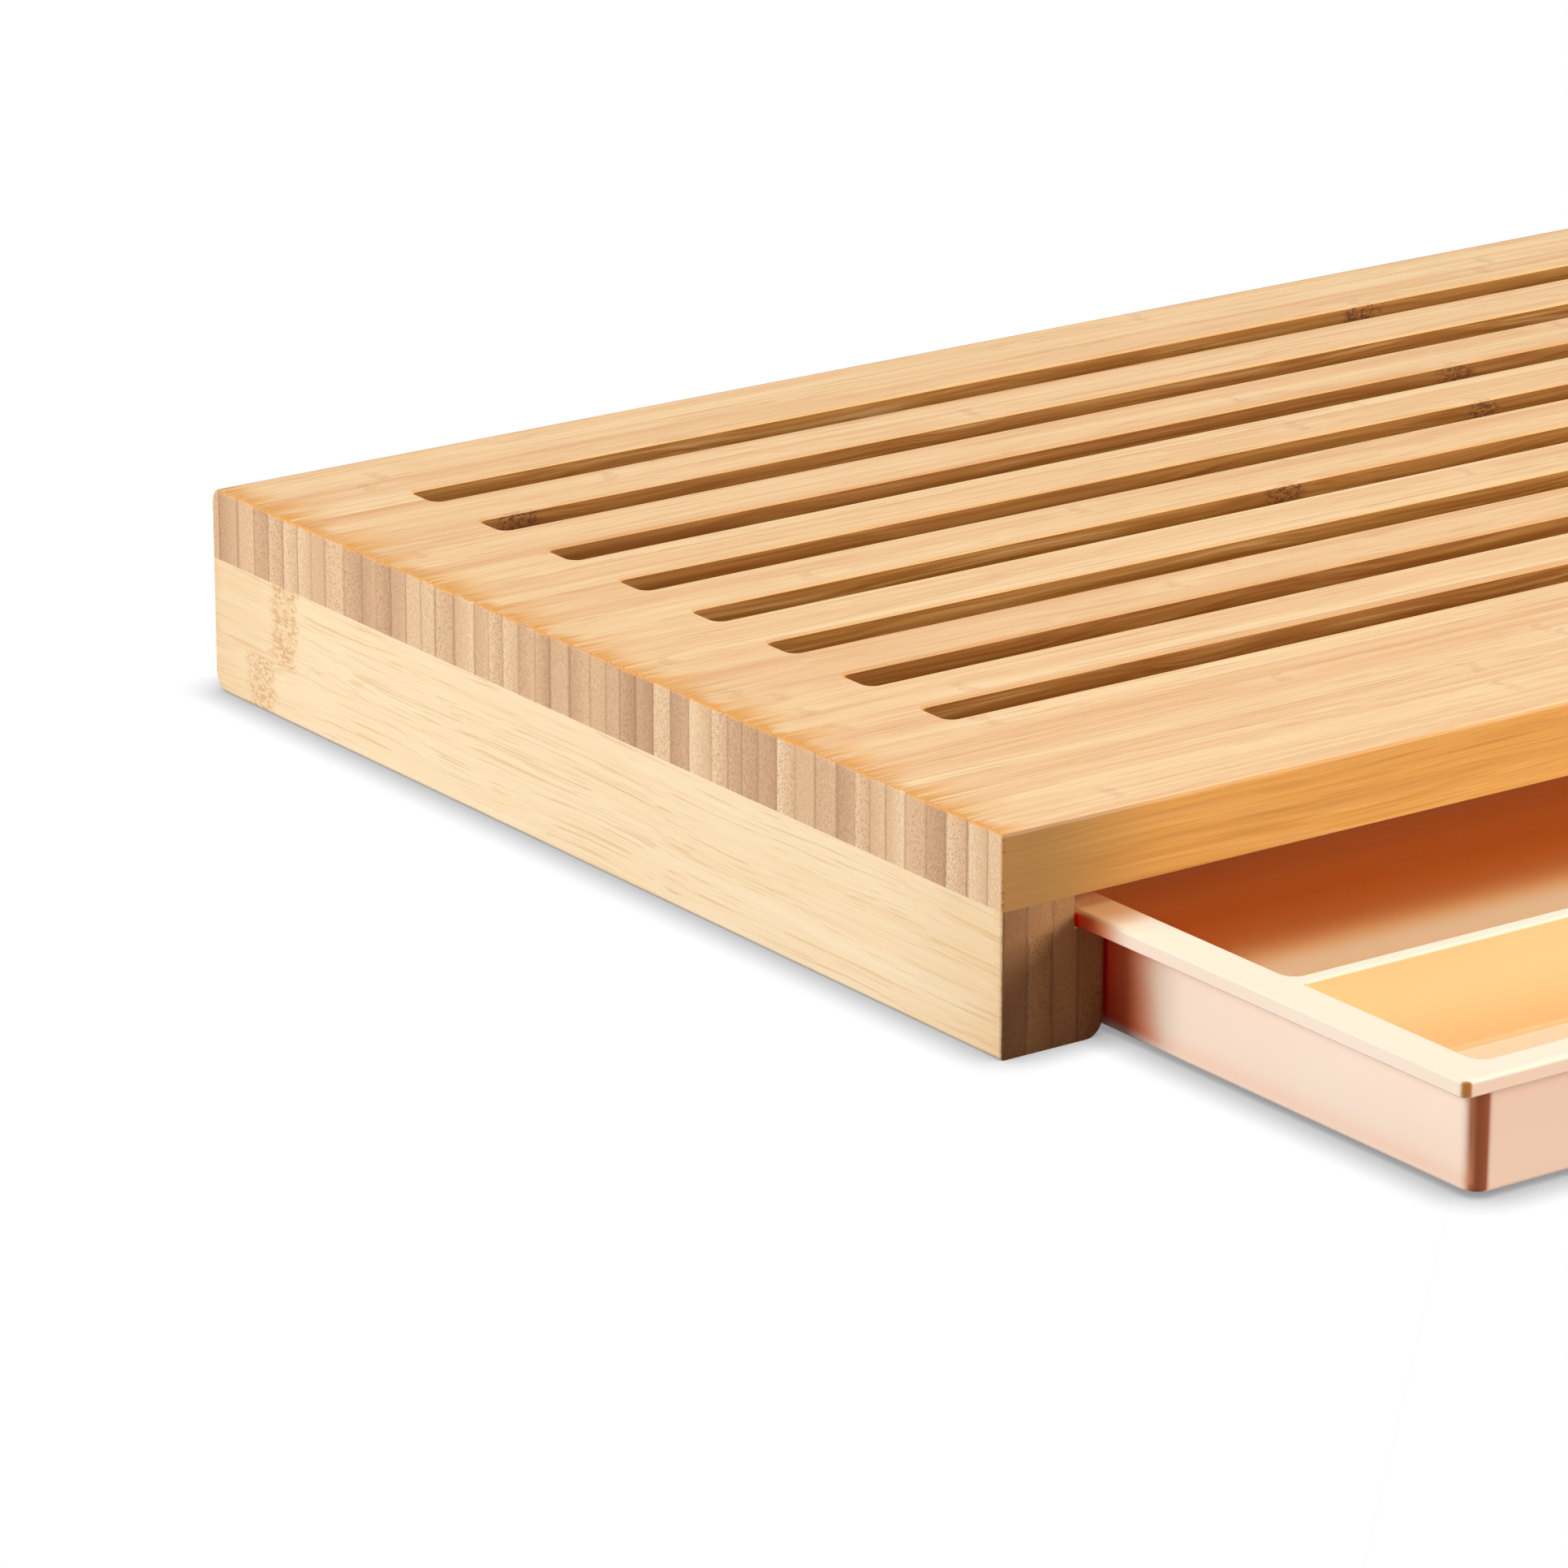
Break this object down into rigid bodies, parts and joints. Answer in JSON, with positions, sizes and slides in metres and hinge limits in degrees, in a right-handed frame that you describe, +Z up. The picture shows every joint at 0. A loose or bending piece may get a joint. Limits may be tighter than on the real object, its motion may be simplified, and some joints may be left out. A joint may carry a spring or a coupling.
{
  "type": "bread board",
  "caption": "Bamboo bread board with a slotted top over a moulded crumb tray, which slides out at the front on rebated side rails and has a knife compartment.",
  "frame": {"origin": "on the worktop, in the middle of the part's bounding box with the tray drawn out 112 mm in front of the board", "axes": "+X along the slots and the board's length, to the right seen from in front of the tray; +Y from the tray's front to the back of the board; +Z up"},
  "size_m": [0.42, 0.392, 0.045],
  "materials": {
    "slab_bamboo": "oiled bamboo, satin",
    "rail_bamboo": "oiled bamboo, satin",
    "dowel_wood": "plain beech, unfinished",
    "tray_plastic": "smooth moulded, cream, satin"
  },
  "bodies": {
    "board": {"cutting_board": "slab_bamboo", "left_rail": "rail_bamboo", "right_rail": "rail_bamboo", "rear_rail": "rail_bamboo", "left_rail_dowels": "dowel_wood", "right_rail_dowels": "dowel_wood", "rear_rail_dowels": "dowel_wood", "corner_dowels": "dowel_wood"},
    "tray": {"crumb_tray": "tray_plastic"}
  },
  "joints": [
    {"name": "tray_slide", "type": "slide", "parent": "board", "child": "tray", "axis": [0, -1, 0], "range_m": [-0.1125, 0.156]}
  ]
}
